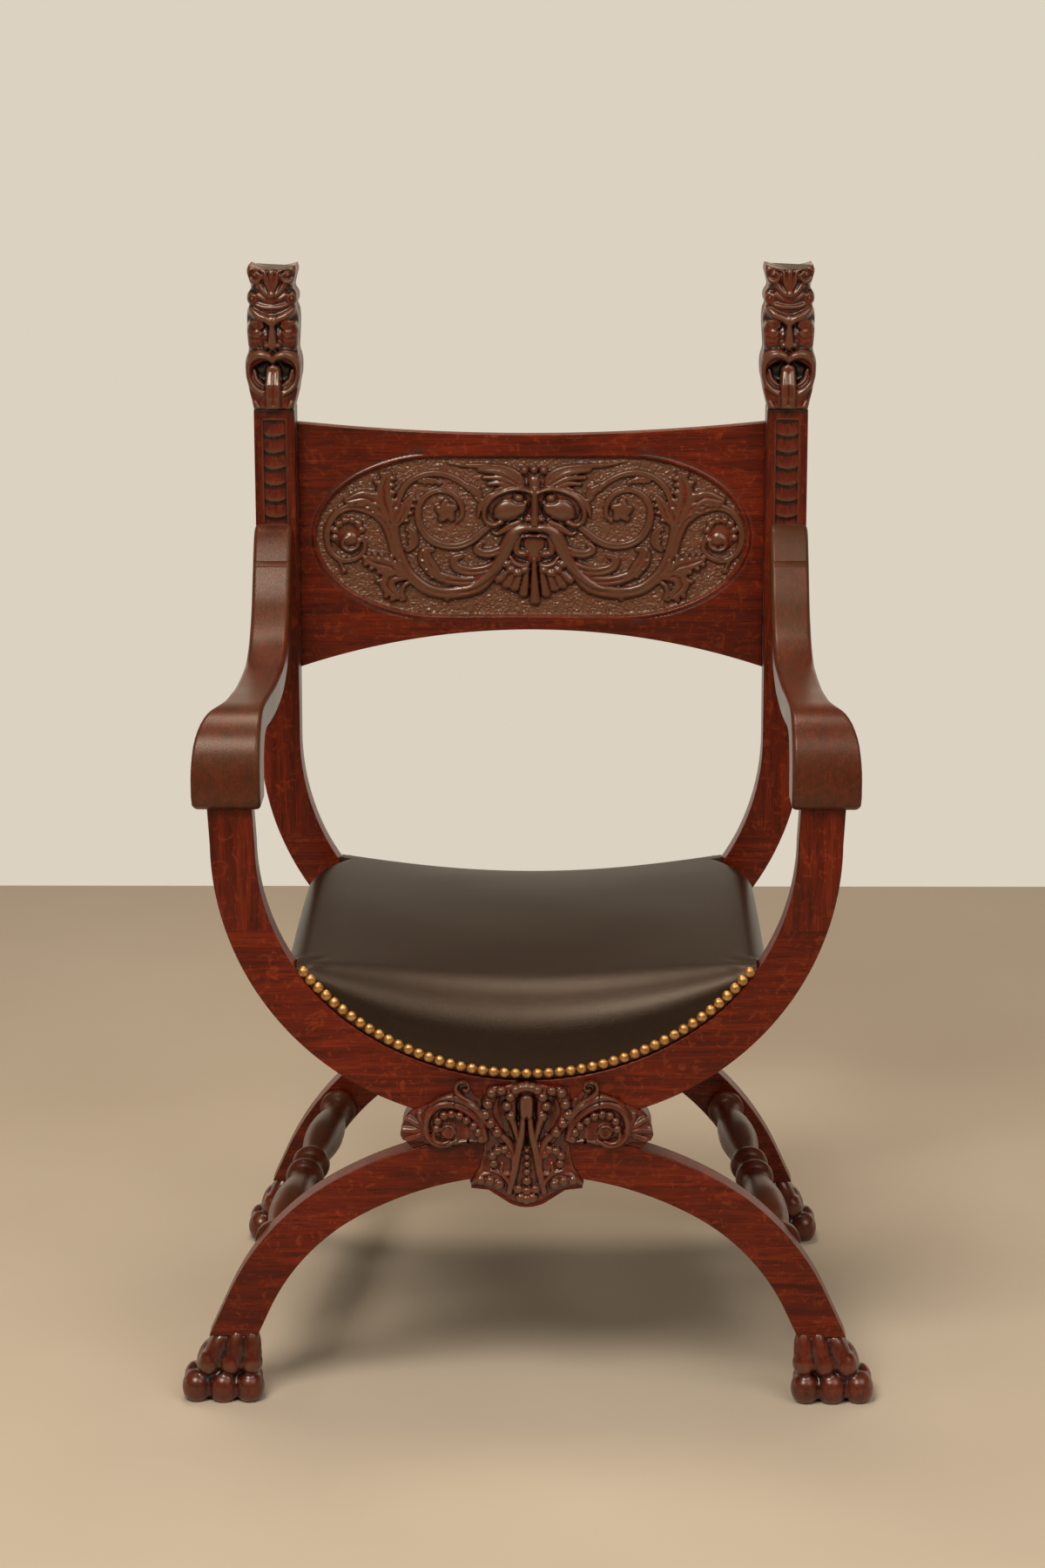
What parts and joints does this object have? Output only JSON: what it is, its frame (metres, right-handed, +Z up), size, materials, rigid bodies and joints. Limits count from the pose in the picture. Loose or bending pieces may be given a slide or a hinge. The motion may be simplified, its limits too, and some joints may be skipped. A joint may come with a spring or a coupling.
{
  "type": "savonarola chair",
  "caption": "Fixed frame carved oak armchair on crossed curved frames, with paw feet, mask finials, carved back panel and nailed leather seat.",
  "frame": {"origin": "middle of the footprint on the floor", "axes": "+X across the chair, +Y from the front to the back, +Z up"},
  "size_m": [0.6932, 0.506, 1.087],
  "materials": {
    "stained_oak": "waxed",
    "dowel_wood": "matte",
    "seat_leather": "satin",
    "seat_padding": "matte",
    "dust_cover_cloth": "matte",
    "nail_brass": "antique"
  },
  "bodies": {
    "root": {"arm_dowels": "dowel_wood", "back_panel": "stained_oak", "crossing_dowels": "dowel_wood", "dust_cover": "dust_cover_cloth", "front_crest": "stained_oak", "front_crossing_block": "stained_oak", "front_left_leg": "stained_oak", "front_left_paw": "stained_oak", "front_left_upright": "stained_oak", "front_nails": "nail_brass", "front_right_leg": "stained_oak", "front_right_paw": "stained_oak", "front_right_upright": "stained_oak", "front_seat_rail": "stained_oak", "joint_dowels": "dowel_wood", "left_arm": "stained_oak", "left_arm_block": "stained_oak", "left_stretcher": "stained_oak", "leg_dowels": "dowel_wood", "panel_dowels": "dowel_wood", "paw_dowels": "dowel_wood", "rear_crossing_block": "stained_oak", "rear_left_leg": "stained_oak", "rear_left_paw": "stained_oak", "rear_left_post": "stained_oak", "rear_nails": "nail_brass", "rear_right_leg": "stained_oak", "rear_right_paw": "stained_oak", "rear_right_post": "stained_oak", "rear_seat_rail": "stained_oak", "right_arm": "stained_oak", "right_arm_block": "stained_oak", "right_stretcher": "stained_oak", "seat_deck": "stained_oak", "seat_front_board": "stained_oak", "seat_leather": "seat_leather", "seat_left_rail": "stained_oak", "seat_pad": "seat_padding", "seat_rail_dowels": "dowel_wood", "seat_rear_board": "stained_oak", "seat_right_rail": "stained_oak"}
  },
  "joints": []
}
